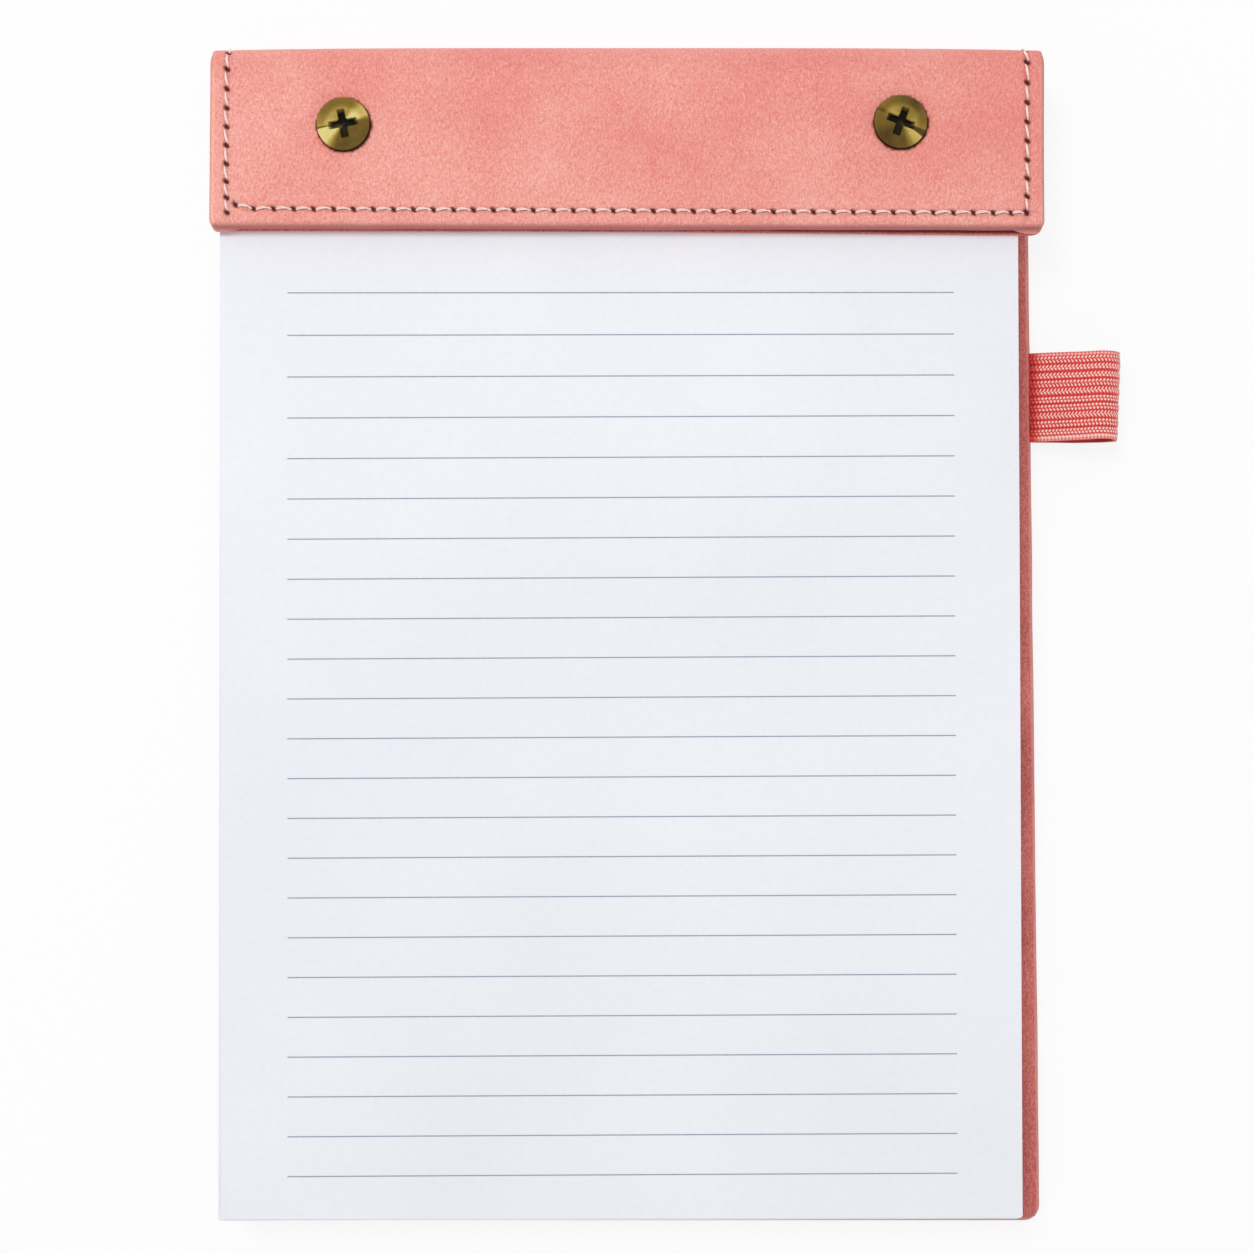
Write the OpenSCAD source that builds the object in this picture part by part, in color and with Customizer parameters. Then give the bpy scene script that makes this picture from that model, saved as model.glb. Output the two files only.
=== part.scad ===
// To-do list notebook: a pad of ruled A5 sheets in a one-piece leatherette case.
// The case runs under the pad, up a spine behind it and over its head as a short flap.
// Two binding posts clamp flap, sheets and back together, and an elastic pen loop
// comes out of the back's right edge.
// The origin is the centre of the back's outer face. +X is the pen loop's side,
// +Y is the spine's end and +Z goes up through the sheets.

/* [Paper] */
// Width of a sheet
sheet_w = 148; // [132:1:210]
// Length of a sheet
sheet_l = 210; // [148:1:297]
// Thickness of the stack of sheets
stack_t = 9.2; // [4:0.1:20]
// Thickness of the card under the sheets
card_t = 0.8; // [0.4:0.1:1.5]
// Corner radius of the sheets and of the card
sheet_corner_r = 0.5; // [0.2:0.1:3]
// Distance between the centres of the two punched holes
punch_spacing = 101.5; // [60:0.5:110]
// Distance from the sheets' head edge to the holes' centres
punch_inset = 8.8; // [7:0.1:12]
// Diameter of the punched holes
punch_d = 6; // [5.5:0.1:7]

/* [Ruling] */
// Distance between two ruled lines
rule_pitch = 7.41; // [5:0.01:10]
// Width of a ruled line
rule_w = 0.26; // [0.2:0.02:0.6]
// Thickness of the ink on the paper
rule_t = 0.05; // [0.03:0.01:0.1]
// Distance from the sheets' head edge to the first line
rule_head = 38.9; // [36:0.1:60]
// Blank margin at both ends of the lines
rule_side = 12.3; // [5:0.1:30]
// Least blank margin under the last line
rule_foot = 7.5; // [5:0.5:30]

/* [Case outline] */
// Width of case left of the sheets
margin_left = 1.4; // [0.5:0.1:6]
// Width of case right of the sheets
margin_right = 3.4; // [2:0.1:8]
// Length of case below the sheets' foot
margin_foot = 3.1; // [1:0.1:8]
// Gap between the sheets' head edge and the spine
head_gap = 2; // [0.5:0.1:5]
// Depth of the flap, from the spine's outer face to the flap's free edge
flap_depth = 33.5; // [30:0.5:60]
// Rounding of the turned edges
edge_r = 1.2; // [0.8:0.1:1.4]
// Corner radius of the back
back_corner_r = 3.1; // [2:0.1:8]
// Corner radius of the flap
flap_corner_r = 2; // [1.6:0.1:8]
// Outer radius of the two folds at the spine
fold_r = 4; // [3.8:0.1:6]

/* [Case layers] */
// Thickness of the leatherette
skin_t = 0.7; // [0.5:0.05:1]
// Thickness of the greyboard
board_t = 1.9; // [1.8:0.1:2.1]
// Thickness of the thinned leatherette that is turned in over the boards
turn_t = 0.4; // [0.3:0.05:0.6]
// Width of the turned-in leatherette
turn_w = 11; // [6:0.5:20]
// Thickness of the lining
lining_t = 0.5; // [0.3:0.05:0.65]
// How far the lining stays back from the turned edge on the back and spine
lining_set_back = 0.9; // [0.3:0.1:1.5]
// How far the lining stays back from the flap's side edges
flap_lining_set_back = 0.15; // [0:0.05:1]
// How far the lining stands out past the flap's free edge
flap_lining_lip = 0.2; // [0:0.05:0.5]

/* [Posts and screws] */
// Diameter of the screw heads and post heads
head_d = 9.8; // [8:0.1:11]
// Thickness of a head at its rim
head_t = 1.1; // [0.9:0.1:1.6]
// Height of the screw head's crown above its rim
crown_t = 0.3; // [0.1:0.05:0.5]
// Width of the bevel round a head
head_bevel = 0.25; // [0.1:0.05:0.3]
// How deep a head is pressed into the leatherette
seat_depth = 0.45; // [0.1:0.05:0.45]
// Gap between a head and the rim of its seat
seat_gap = 0.2; // [0.1:0.05:0.4]
// Outer diameter of a post's barrel
barrel_d = 5; // [4.6:0.1:5.3]
// Clearance round the barrel in the case, on the diameter
barrel_clear = 0.15; // [0.1:0.05:0.4]
// Gap between the barrel's mouth and the screw head
barrel_short = 1.5; // [0.5:0.1:2]
// Solid length of the barrel above the post's head
barrel_floor = 1.5; // [1:0.1:2]
// Diameter of the screw's shank
shank_d = 3.6; // [3:0.1:3.8]
// Length of the screw's shank
shank_l = 7; // [4:0.5:7.5]
// Clearance of the shank in the barrel, on the diameter
shank_clear = 0.1; // [0.05:0.05:0.3]
// Span of the cross recess from tip to tip
cross_span = 5.3; // [4:0.1:6]
// Width of the arms of the cross recess
cross_w = 1.1; // [0.8:0.05:1.4]
// Rounding in the inner corners of the cross
cross_fillet_r = 0.5; // [0.3:0.05:0.7]
// Depth of the cross recess below the crown
cross_depth = 1.2; // [0.8:0.05:1.2]
// Turn of the left screw's cross in degrees
cross_turn_left = 9; // [-45:1:45]
// Turn of the right screw's cross in degrees
cross_turn_right = -23; // [-45:1:45]

/* [Pen loop] */
// Width of the elastic
loop_w = 16; // [10:0.5:25]
// Thickness of one layer of the elastic
loop_t = 0.95; // [0.7:0.05:1.05]
// How far the loop stands out from the case's edge
loop_reach = 16.7; // [14:0.1:24]
// Height of the loop at its open end
loop_h = 8; // [7:0.1:12]
// Height of the loop's lowest point above the case's outer face
loop_lift = 0.1; // [0:0.05:1]
// Distance from the spine's outer face to the middle of the loop
loop_from_spine = 62.9; // [50:0.1:100]
// Length of elastic held inside the case
loop_tab = 8; // [5:0.5:10]
// Length outside the case on which the two layers stay pressed together
loop_pinch = 0.6; // [0.4:0.1:2]
// Clearance round the held elastic
loop_clear = 0.15; // [0.05:0.05:0.5]
// Number of ribs across the elastic
loop_ribs = 11; // [5:1:15]
// Width of the furrow between two ribs
furrow_w = 0.4; // [0.2:0.05:0.6]
// Depth of the furrow
furrow_d = 0.2; // [0.05:0.05:0.35]

/* [Stitching] */
// Distance from the case's edge to the stitch line
stitch_inset = 3.4; // [2.2:0.1:6]
// Distance from one needle hole to the next
stitch_pitch = 3.55; // [2.6:0.05:6]
// Visible length of a stitch
stitch_l = 2.3; // [1.2:0.1:2.4]
// Width of the thread
thread_w = 0.55; // [0.3:0.05:0.8]
// Height of a stitch above the bottom of its channel
stitch_h = 0.42; // [0.2:0.02:0.6]
// Width of the channel that the thread has pulled into the leatherette
channel_w = 0.95; // [0.85:0.05:1.2]
// Depth of that channel
channel_d = 0.15; // [0.05:0.05:0.3]

/* [Hidden] */
$fn = 64;

// How far a cutting shape reaches past the face that it opens
cut = 0.3;

// Layers of a panel, counted from its outer face inwards
case_t = skin_t + board_t + turn_t;
panel_t = case_t + lining_t;

// Whole case
pad_t = card_t + stack_t;
case_w = margin_left + sheet_w + margin_right;
case_l = margin_foot + sheet_l + head_gap + panel_t;
case_h = 2 * panel_t + pad_t;
side_x = case_w / 2;
foot_y = -case_l / 2;
spine_y = case_l / 2;
fold_y = spine_y - fold_r;
flap_y = spine_y - flap_depth;
flap_z = case_h - case_t;

// Sheets and the posts through them
pad_x = margin_left - side_x + sheet_w / 2;
pad_foot_y = foot_y + margin_foot;
pad_head_y = pad_foot_y + sheet_l;
post_y = pad_head_y - punch_inset;
post_x = [pad_x - punch_spacing / 2, pad_x + punch_spacing / 2];
cross_turn = [cross_turn_left, cross_turn_right];
stack_z = panel_t + card_t;
stack_top_z = panel_t + pad_t;

// Heads, barrels and shanks along Z
bore_d = barrel_d + barrel_clear;
post_seat_z = seat_depth;
screw_seat_z = case_h - seat_depth;
barrel_top_z = screw_seat_z - barrel_short;

// Pen loop seen along Y: a round end and two flanks that meet at the case's edge
loop_y = spine_y - loop_from_spine;
loop_r = loop_h / 2;
loop_centre = [side_x + loop_reach - loop_r, loop_lift + loop_r];
loop_mid_z = skin_t + loop_t;
flank_inset = 0.08; // the flanks' faces run into the round end this far inside its faces
rib_pitch = (loop_w + furrow_w) / loop_ribs;
rib_w = rib_pitch - furrow_w;

// Straight stitch rows
stitch_x = side_x - stitch_inset;
stitch_foot_y = foot_y + stitch_inset;
stitch_flap_y = flap_y + stitch_inset;

// Slope in degrees of the loop's lower (-1) or upper (1) flank, which leaves the pressed
// layers just inside their face and runs into the round end
function flank_slope(side) =
    let (root = [side_x + loop_pinch, loop_mid_z + side * (loop_t - furrow_d / 2)],
         run = loop_centre - root)
    atan2(run.y, run.x) + side * asin((loop_r - flank_inset) / norm(run));

// Whole number of stitches that fits a length best
function stitch_count(length) = max(1, round(length / stitch_pitch));

// Runs of a section round the case. Each takes a flat section drawn with X across
// the case and Y as the depth below the case's outer face.

// Along the back, from y0 up to the fold
module along_back(y0) {
    translate([0, fold_y, 0])
        rotate([90, 0, 0])
            linear_extrude(fold_y - y0)
                children();
}

// Along the flap, from y0 back to the fold
module along_flap(y0) {
    translate([0, fold_y, case_h])
        rotate([90, 0, 0])
            linear_extrude(fold_y - y0)
                mirror([0, 1])
                    children();
}

// One quarter turn about the X axis, which starts facing down
module fold_turn() {
    rotate([0, 90, 0])
        rotate_extrude(angle = 90)
            translate([fold_r, 0])
                rotate(90)
                    children();
}

// Round the lower fold, up the spine and round the upper fold
module round_spine() {
    translate([0, fold_y, fold_r])
        fold_turn()
            children();
    translate([0, spine_y, fold_r])
        linear_extrude(case_h - 2 * fold_r)
            mirror([0, 1])
                children();
    translate([0, fold_y, case_h - fold_r])
        rotate([90, 0, 0])
            fold_turn()
                children();
}

// Outline of a panel seen from above, with round corners at its free end
module panel_outline(set_back, y0, y1, r) {
    half_w = side_x - set_back;
    translate([-half_w, y0 + r])
        square([2 * half_w, y1 - y0 - r]);
    translate([r - half_w, y0])
        square([2 * (half_w - r), r]);
    for (side = [-1, 1])
        translate([side * (half_w - r), y0 + r])
            circle(r);
}

// Both post holes as flat circles
module post_holes(d) {
    for (x = post_x)
        translate([x, post_y])
            circle(d = d);
}

// Section across the case with its two turned side edges
module case_section() {
    translate([edge_r - side_x, 0])
        square([case_w - 2 * edge_r, case_t]);
    translate([-side_x, edge_r])
        square([case_w, case_t - 2 * edge_r]);
    for (side = [-1, 1], depth = [edge_r, case_t - edge_r])
        translate([side * (side_x - edge_r), depth])
            circle(edge_r);
}

// Section of a free end, from its corner's centre out to the turned edge
module end_section(corner_r) {
    difference() {
        square([corner_r, case_t]);
        for (low = [0, 1])
            translate([corner_r - edge_r, low * (case_t - edge_r)])
                difference() {
                    square([edge_r + cut, edge_r]);
                    translate([0, (1 - low) * edge_r])
                        circle(edge_r);
                }
    }
}

// Free end of a panel with a turned edge and two round corners
module free_end(y0, z0, corner_r) {
    translate([0, y0 + corner_r, z0]) {
        translate([side_x - corner_r, 0, 0])
            rotate([90, 0, -90])
                linear_extrude(case_w - 2 * corner_r)
                    end_section(corner_r);
        for (side = [0, 1])
            mirror([side, 0, 0])
                translate([side_x - corner_r, 0, 0])
                    rotate([0, 0, -90])
                        rotate_extrude(angle = 90)
                            end_section(corner_r);
    }
}

// The case before the boards' room, the holes and the channel are taken out of it
module turned_case() {
    along_back(foot_y + back_corner_r)
        case_section();
    round_spine()
        case_section();
    along_flap(flap_y + flap_corner_r)
        case_section();
    free_end(foot_y, 0, back_corner_r);
    free_end(flap_y, flap_z, flap_corner_r);
}

// Boards without their holes, which are also the room for them in the case
module back_board_blank() {
    translate([0, 0, skin_t])
        linear_extrude(board_t)
            panel_outline(skin_t, foot_y + skin_t, fold_y, back_corner_r - skin_t);
}

module spine_board_blank() {
    translate([skin_t - side_x, spine_y - skin_t - board_t, fold_r])
        cube([case_w - 2 * skin_t, board_t, case_h - 2 * fold_r]);
}

module flap_board_blank() {
    translate([0, 0, flap_z + turn_t])
        linear_extrude(board_t)
            panel_outline(skin_t, flap_y + skin_t, fold_y, flap_corner_r - skin_t);
}

// The lining sinks in between the turned-in edges and lies on the boards there
module sunk_lining() {
    window_w = case_w - 2 * turn_w;
    translate([-window_w / 2, foot_y + turn_w, case_t - turn_t])
        cube([window_w, fold_y - foot_y - turn_w, turn_t]);
    translate([-window_w / 2, spine_y - case_t, fold_r])
        cube([window_w, turn_t, case_h - 2 * fold_r]);
    translate([-window_w / 2, flap_y + turn_w, flap_z])
        cube([window_w, fold_y - flap_y - turn_w, turn_t]);
}

// Room for the elastic that is held between the leatherette and its turned edge
module loop_room() {
    translate([side_x - loop_tab - loop_clear, loop_y - loop_w / 2 - loop_clear, skin_t])
        cube([loop_tab + loop_clear + cut, loop_w + 2 * loop_clear, 2 * loop_t]);
}

// Sections of the stitch channel in both sides
module channel_section() {
    for (side = [-1, 1])
        translate([side * stitch_x - channel_w / 2, -cut])
            square([channel_w, channel_d + cut]);
}

module stitch_channel() {
    along_back(stitch_foot_y - channel_w / 2)
        channel_section();
    round_spine()
        channel_section();
    along_flap(stitch_flap_y - channel_w / 2)
        channel_section();
    for (row = [[stitch_foot_y, -cut], [stitch_flap_y, case_h - channel_d]])
        translate([-stitch_x, row[0] - channel_w / 2, row[1]])
            cube([2 * stitch_x, channel_w, channel_d + cut]);
}

// Holes for the barrels and the seats pressed in by the heads
module post_cuts() {
    translate([0, 0, -cut])
        linear_extrude(case_h + 2 * cut)
            post_holes(bore_d);
    for (z = [-cut, screw_seat_z])
        translate([0, 0, z])
            linear_extrude(seat_depth + cut)
                post_holes(head_d + 2 * seat_gap);
}

module outer_cover() {
    color([0.93, 0.62, 0.58])
        difference() {
            turned_case();
            back_board_blank();
            spine_board_blank();
            flap_board_blank();
            sunk_lining();
            loop_room();
            stitch_channel();
            post_cuts();
        }
}

module lining() {
    color([0.74, 0.4, 0.38])
        difference() {
            union() {
                translate([0, 0, case_t])
                    linear_extrude(lining_t)
                        panel_outline(lining_set_back, foot_y + lining_set_back, fold_y,
                            back_corner_r - lining_set_back);
                round_spine()
                    translate([lining_set_back - side_x, case_t])
                        square([case_w - 2 * lining_set_back, lining_t]);
                translate([0, 0, flap_z - lining_t])
                    linear_extrude(lining_t)
                        panel_outline(flap_lining_set_back, flap_y - flap_lining_lip, fold_y,
                            edge_r);
                sunk_lining();
            }
            post_cuts();
        }
}

module back_board() {
    color([0.6, 0.58, 0.55])
        difference() {
            back_board_blank();
            post_cuts();
            loop_room();
        }
}

module spine_board() {
    color([0.6, 0.58, 0.55])
        spine_board_blank();
}

module flap_board() {
    color([0.6, 0.58, 0.55])
        difference() {
            flap_board_blank();
            post_cuts();
        }
}

// Outline of a sheet with its round corners and punched holes
module sheet_outline() {
    r = sheet_corner_r;
    difference() {
        union() {
            translate([pad_x - sheet_w / 2 + r, pad_foot_y])
                square([sheet_w - 2 * r, sheet_l]);
            translate([pad_x - sheet_w / 2, pad_foot_y + r])
                square([sheet_w, sheet_l - 2 * r]);
            for (side = [-1, 1], y = [pad_foot_y + r, pad_head_y - r])
                translate([pad_x + side * (sheet_w / 2 - r), y])
                    circle(r);
        }
        post_holes(punch_d);
    }
}

module backing_card() {
    color([0.66, 0.64, 0.61])
        translate([0, 0, panel_t])
            linear_extrude(card_t)
                sheet_outline();
}

module sheets() {
    color([0.94, 0.945, 0.96])
        translate([0, 0, stack_z])
            linear_extrude(stack_t)
                sheet_outline();
}

// Ink bars on the top sheet
module ruled_lines() {
    line_l = sheet_w - 2 * rule_side;
    last = floor((sheet_l - rule_head - rule_foot) / rule_pitch);
    color([0.58, 0.64, 0.74])
        for (i = [0 : last])
            translate([pad_x - line_l / 2, pad_head_y - rule_head - i * rule_pitch - rule_w / 2,
                    stack_top_z])
                cube([line_l, rule_w, rule_t]);
}

// Head of a post or screw, from its seat up to its bevelled rim
module head_disc() {
    cylinder(d = head_d, h = head_t - head_bevel);
    translate([0, 0, head_t - head_bevel])
        cylinder(r1 = head_d / 2, r2 = head_d / 2 - head_bevel, h = head_bevel);
}

module post() {
    difference() {
        union() {
            translate([0, 0, post_seat_z])
                mirror([0, 0, 1])
                    head_disc();
            translate([0, 0, post_seat_z])
                cylinder(d = barrel_d, h = barrel_top_z - post_seat_z);
        }
        translate([0, 0, post_seat_z + barrel_floor])
            cylinder(d = shank_d + shank_clear, h = barrel_top_z);
    }
}

module posts() {
    color([0.72, 0.62, 0.34])
        for (x = post_x)
            translate([x, post_y, 0])
                post();
}

// Cross with round inner corners, seen from above
module cross_outline() {
    core = cross_w / 2 + cross_fillet_r;
    square([cross_span, cross_w], center = true);
    square([cross_w, cross_span], center = true);
    difference() {
        square(2 * core, center = true);
        for (x = [-core, core], y = [-core, core])
            translate([x, y])
                circle(cross_fillet_r);
    }
}

// Recess that narrows downwards, with its mouth at z = 0
module cross_recess() {
    intersection() {
        translate([0, 0, -cross_depth])
            linear_extrude(cross_depth + cut)
                cross_outline();
        translate([0, 0, -cross_depth])
            cylinder(r1 = cross_span / 2 - cross_depth / 2, r2 = cross_span / 2 + cut,
                h = cross_depth + cut);
    }
}

// Slightly crowned top of the screw head: the cap of a large ball
module head_crown() {
    rim_r = head_d / 2 - head_bevel;
    ball_r = (rim_r * rim_r + crown_t * crown_t) / (2 * crown_t);
    rotate_extrude()
        intersection() {
            translate([0, crown_t - ball_r])
                circle(ball_r, $fn = 720);
            square([rim_r, head_d]);
        }
}

module screw(turn) {
    difference() {
        union() {
            head_disc();
            translate([0, 0, head_t])
                head_crown();
            translate([0, 0, -shank_l])
                cylinder(d = shank_d, h = shank_l);
        }
        translate([0, 0, head_t + crown_t])
            rotate(turn)
                cross_recess();
    }
}

module screws() {
    color([0.78, 0.67, 0.36])
        for (i = [0, 1])
            translate([post_x[i], post_y, screw_seat_z])
                screw(cross_turn[i]);
}

// Drop outline round the loop, drawn with X outwards and Y up: a round end of radius r
// and a wedge that narrows towards the case
module drop_outline(r) {
    touch_r = r - flank_inset;
    low = flank_slope(-1);
    high = flank_slope(1);
    tip = touch_r / sin((high - low) / 2);
    back_way = 180 + (high + low) / 2;
    translate(loop_centre) {
        circle(r);
        polygon([
            touch_r * [cos(high + 90), sin(high + 90)],
            tip * [cos(back_way), sin(back_way)],
            touch_r * [cos(low - 90), sin(low - 90)]
        ]);
    }
}

// One slice across the elastic, thinner by thin on its outer side
module loop_slice(thin) {
    intersection() {
        difference() {
            drop_outline(loop_r - thin);
            drop_outline(loop_r - loop_t);
        }
        translate([side_x, -loop_reach])
            square(2 * loop_reach);
    }
}

// A length of the elastic's width, measured from its lower edge
module loop_length(from, length) {
    translate([0, loop_y - loop_w / 2 + from + length, 0])
        rotate([90, 0, 0])
            linear_extrude(length)
                children();
}

module pen_loop() {
    color([0.86, 0.36, 0.33]) {
        for (i = [0 : loop_ribs - 1])
            loop_length(i * rib_pitch, rib_w)
                loop_slice(0);
        for (i = [0 : loop_ribs - 2])
            loop_length(i * rib_pitch + rib_w, furrow_w)
                loop_slice(furrow_d);
        loop_length(0, loop_w)
            translate([side_x - loop_tab, skin_t])
                square([loop_tab + loop_pinch, 2 * loop_t]);
    }
}

// One stitch along X: a flat-bottomed bow of thread that stands on z = 0
module stitch() {
    bow_r = (stitch_l * stitch_l / 4 + stitch_h * stitch_h) / (2 * stitch_h);
    translate([0, thread_w / 2, 0])
        rotate([90, 0, 0])
            linear_extrude(thread_w)
                intersection() {
                    translate([0, stitch_h - bow_r])
                        circle(bow_r);
                    translate([-stitch_l, 0])
                        square([2 * stitch_l, 2 * stitch_h]);
                }
}

// A row of stitches from the origin along X
module stitch_row(length) {
    count = stitch_count(length);
    for (i = [0 : count - 1])
        translate([(i + 0.5) * length / count, 0, 0])
            stitch();
}

// Stitches across a fold, which lie square to its radius
module fold_stitches() {
    count = stitch_count(PI / 2 * fold_r);
    for (i = [0 : count - 1])
        rotate([(i + 0.5) * 90 / count, 0, 0])
            translate([0, 0, channel_d - fold_r])
                mirror([0, 0, 1])
                    rotate(90)
                        stitch();
}

// The rows of one long side: back, lower fold, spine, upper fold and flap
module side_stitches(x) {
    translate([x, stitch_foot_y, channel_d])
        mirror([0, 0, 1])
            rotate(90)
                stitch_row(fold_y - stitch_foot_y);
    translate([x, fold_y, fold_r])
        fold_stitches();
    translate([x, spine_y - channel_d, fold_r])
        rotate([0, -90, -90])
            stitch_row(case_h - 2 * fold_r);
    translate([x, fold_y, case_h - fold_r])
        rotate([90, 0, 0])
            fold_stitches();
    translate([x, stitch_flap_y, case_h - channel_d])
        rotate(90)
            stitch_row(fold_y - stitch_flap_y);
}

module stitching() {
    color([0.98, 0.86, 0.83]) {
        for (side = [-1, 1])
            side_stitches(side * stitch_x);
        translate([-stitch_x, stitch_foot_y, channel_d])
            mirror([0, 0, 1])
                stitch_row(2 * stitch_x);
        translate([-stitch_x, stitch_flap_y, case_h - channel_d])
            stitch_row(2 * stitch_x);
    }
}

outer_cover();
lining();
back_board();
spine_board();
flap_board();
backing_card();
sheets();
ruled_lines();
posts();
screws();
pen_loop();
stitching();
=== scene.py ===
"""Looks of a to-do list notebook: a pad of ruled sheets in a stitched leatherette case."""

import math
import random

import bmesh
import bpy
import numpy as np
from mathutils import Matrix, Vector, noise


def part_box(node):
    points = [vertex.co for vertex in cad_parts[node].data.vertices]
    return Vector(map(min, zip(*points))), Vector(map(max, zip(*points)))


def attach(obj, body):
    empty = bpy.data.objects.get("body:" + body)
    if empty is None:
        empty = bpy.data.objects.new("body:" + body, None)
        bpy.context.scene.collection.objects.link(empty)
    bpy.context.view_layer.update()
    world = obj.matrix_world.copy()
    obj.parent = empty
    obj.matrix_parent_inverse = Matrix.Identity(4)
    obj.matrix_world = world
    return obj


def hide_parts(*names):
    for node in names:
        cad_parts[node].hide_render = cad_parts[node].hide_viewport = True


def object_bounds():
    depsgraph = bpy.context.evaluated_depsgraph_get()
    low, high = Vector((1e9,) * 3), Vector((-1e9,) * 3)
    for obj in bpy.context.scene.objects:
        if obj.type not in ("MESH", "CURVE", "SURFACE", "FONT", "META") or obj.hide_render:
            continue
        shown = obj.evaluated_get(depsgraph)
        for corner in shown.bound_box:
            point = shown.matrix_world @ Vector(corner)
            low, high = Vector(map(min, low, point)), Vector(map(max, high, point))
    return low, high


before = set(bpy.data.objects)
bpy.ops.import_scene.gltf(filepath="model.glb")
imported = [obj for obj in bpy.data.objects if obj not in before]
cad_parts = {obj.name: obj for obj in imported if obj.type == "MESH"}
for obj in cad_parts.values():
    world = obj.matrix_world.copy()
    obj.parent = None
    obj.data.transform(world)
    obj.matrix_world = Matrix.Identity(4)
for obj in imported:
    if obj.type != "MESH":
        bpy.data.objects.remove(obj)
cad_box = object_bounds()

# Pieces are modelled in millimetres and brought to metres when they are settled.
MM = 0.001

# Case: a panel folded under the pad, up the spine and over the pad's head
HALF_W = 76.4
FOOT_Y = -109.3
SPINE_Y = 109.3
FLAP_Y = 75.8
CASE_H = 17.0
CASE_T = 3.0
FOLD_R = 4.0
FOLD_Y = SPINE_Y - FOLD_R
TURN_W = 11.0
SKIN_T = 0.4
LINING_T = 0.5
COVER_ROUND = 1.3

# Pad
PAD_X = -1.0
SHEET_W = 147.6
SHEET_L = 210.0
PAD_FOOT_Y = -106.2
PAD_HEAD_Y = PAD_FOOT_Y + SHEET_L
STACK_Z = 4.3
STACK_TOP = 13.5
SHEET_T = 0.08
SHEET_CORNER = 0.5
SHEET_COUNT = 92
POST_X = (-51.75, 49.75)
POST_Y = 95.0
PAD_TURN = 0.0022
RULE_Y = 64.9
RULE_PITCH = 7.34
RULE_EXTRA = 1.3
RULE_HALF = 61.7
RULE_W = 0.2
RULE_T = 0.025
RULE_COUNT = 23

# Stitching
STITCH_X = 73.0
STITCH_FOOT_Y = FOOT_Y + 3.4
STITCH_FLAP_Y = FLAP_Y + 3.4
PITCH = 3.5
PIT_DEPTH = 0.27
FURROW_DEPTH = 0.1

# Screw heads, which sit a little off their posts' middles
HEAD_R = 4.8
HEAD_Z = 16.55
HEAD_RIM = 1.1
CROWN = 0.22
SHANK_R = 1.8
FLAP_SEAT_GAP = 0.12
BACK_SEAT_GAP = 0.3
HEADS = ((POST_X[0] - 0.1, POST_Y + 0.1), (POST_X[1] + 0.25, POST_Y + 0.5))

# Pen loop
LOOP_Y = 46.4
LOOP_W = 16.0
LOOP_T = 0.95
LOOP_R = 4.0
LOOP_X = 89.1
LOOP_Z = 4.1
RIBS = 10
PURL = 0.7
SELVEDGE = 0.9

# Painted highlights on the face of each head: how pale it is at shares of a turn from its right
# arm
LEFT_PAINTED_HIGHLIGHTS = ((0.0, 0.18), (0.03, 0.78), (0.09, 0.7), (0.15, 0.24), (0.38, 0.24), (0.49, 0.55),
            (0.505, 0.0), (0.51, 0.98), (0.6, 0.95), (0.67, 0.12), (0.97, 0.14))
RIGHT_PAINTED_HIGHLIGHTS = ((0.0, 0.42), (0.06, 0.24), (0.2, 0.02), (0.44, 0.3), (0.475, 0.05), (0.49, 0.26),
             (0.69, 0.02), (0.84, 0.12), (0.9, 0.62), (0.955, 0.8), (0.96, 0.02))

# Eye of the camera above the object
EYE = (0.0, 3.2, 373.5)
LENS = 56.0


# ---- Hand tools -------------------------------------------------------------------------


def take(obj):
    """Leaves edit mode and makes obj the only selected, active object."""
    if bpy.context.object and bpy.context.object.mode != "OBJECT":
        bpy.ops.object.mode_set(mode="OBJECT")
    bpy.ops.object.select_all(action="DESELECT")
    obj.select_set(True)
    bpy.context.view_layer.objects.active = obj
    return obj


def open_mesh(obj):
    take(obj)
    bpy.ops.object.mode_set(mode="EDIT")
    bpy.ops.mesh.select_all(action="DESELECT")


def close_mesh():
    bpy.ops.object.mode_set(mode="OBJECT")


def pick(obj, kind, test):
    """Selects only the vertices, edges or faces that pass the test, and says how many."""
    bpy.ops.mesh.select_mode(type=kind)
    bpy.ops.mesh.select_all(action="DESELECT")
    shape = bmesh.from_edit_mesh(obj.data)
    shape.normal_update()
    found = 0
    for item in {"VERT": shape.verts, "EDGE": shape.edges, "FACE": shape.faces}[kind]:
        if not item.hide and test(item):
            item.select_set(True)
            found += 1
    bmesh.update_edit_mesh(obj.data)
    return found


def slice_up(axis, spots):
    """Cuts the open mesh straight across an axis at each of those places."""
    for spot in spots:
        at, way = [0, 0, 0], [0, 0, 0]
        at[axis], way[axis] = spot, 1
        bpy.ops.mesh.select_all(action="SELECT")
        bpy.ops.mesh.bisect(plane_co=at, plane_no=way)


def named(name):
    """Names the new active object and its mesh."""
    obj = bpy.context.object
    obj.name = name
    obj.data.name = name
    return obj


def block(name, x, y, z):
    """A box between two places along each axis."""
    bpy.ops.object.select_all(action="DESELECT")
    spans = [x, y, z]
    bpy.ops.mesh.primitive_cube_add(size=1, location=[(a + b) / 2 for a, b in spans])
    obj = named(name)
    obj.scale = [b - a for a, b in spans]
    bpy.ops.object.transform_apply(location=True, rotation=True, scale=True)
    return obj


def modify(obj, kind, **settings):
    """Adds a modifier with its settings and applies it."""
    take(obj)
    modifier = obj.modifiers.new(kind.title(), kind)
    for key, value in settings.items():
        setattr(modifier, key, value)
    bpy.ops.object.modifier_apply(modifier=modifier.name)


def cut_out(obj, tool):
    """Takes the tool's shape out of obj and throws the tool away."""
    modify(obj, "BOOLEAN", operation="DIFFERENCE", object=tool, solver="EXACT")
    bpy.data.objects.remove(tool)


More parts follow.
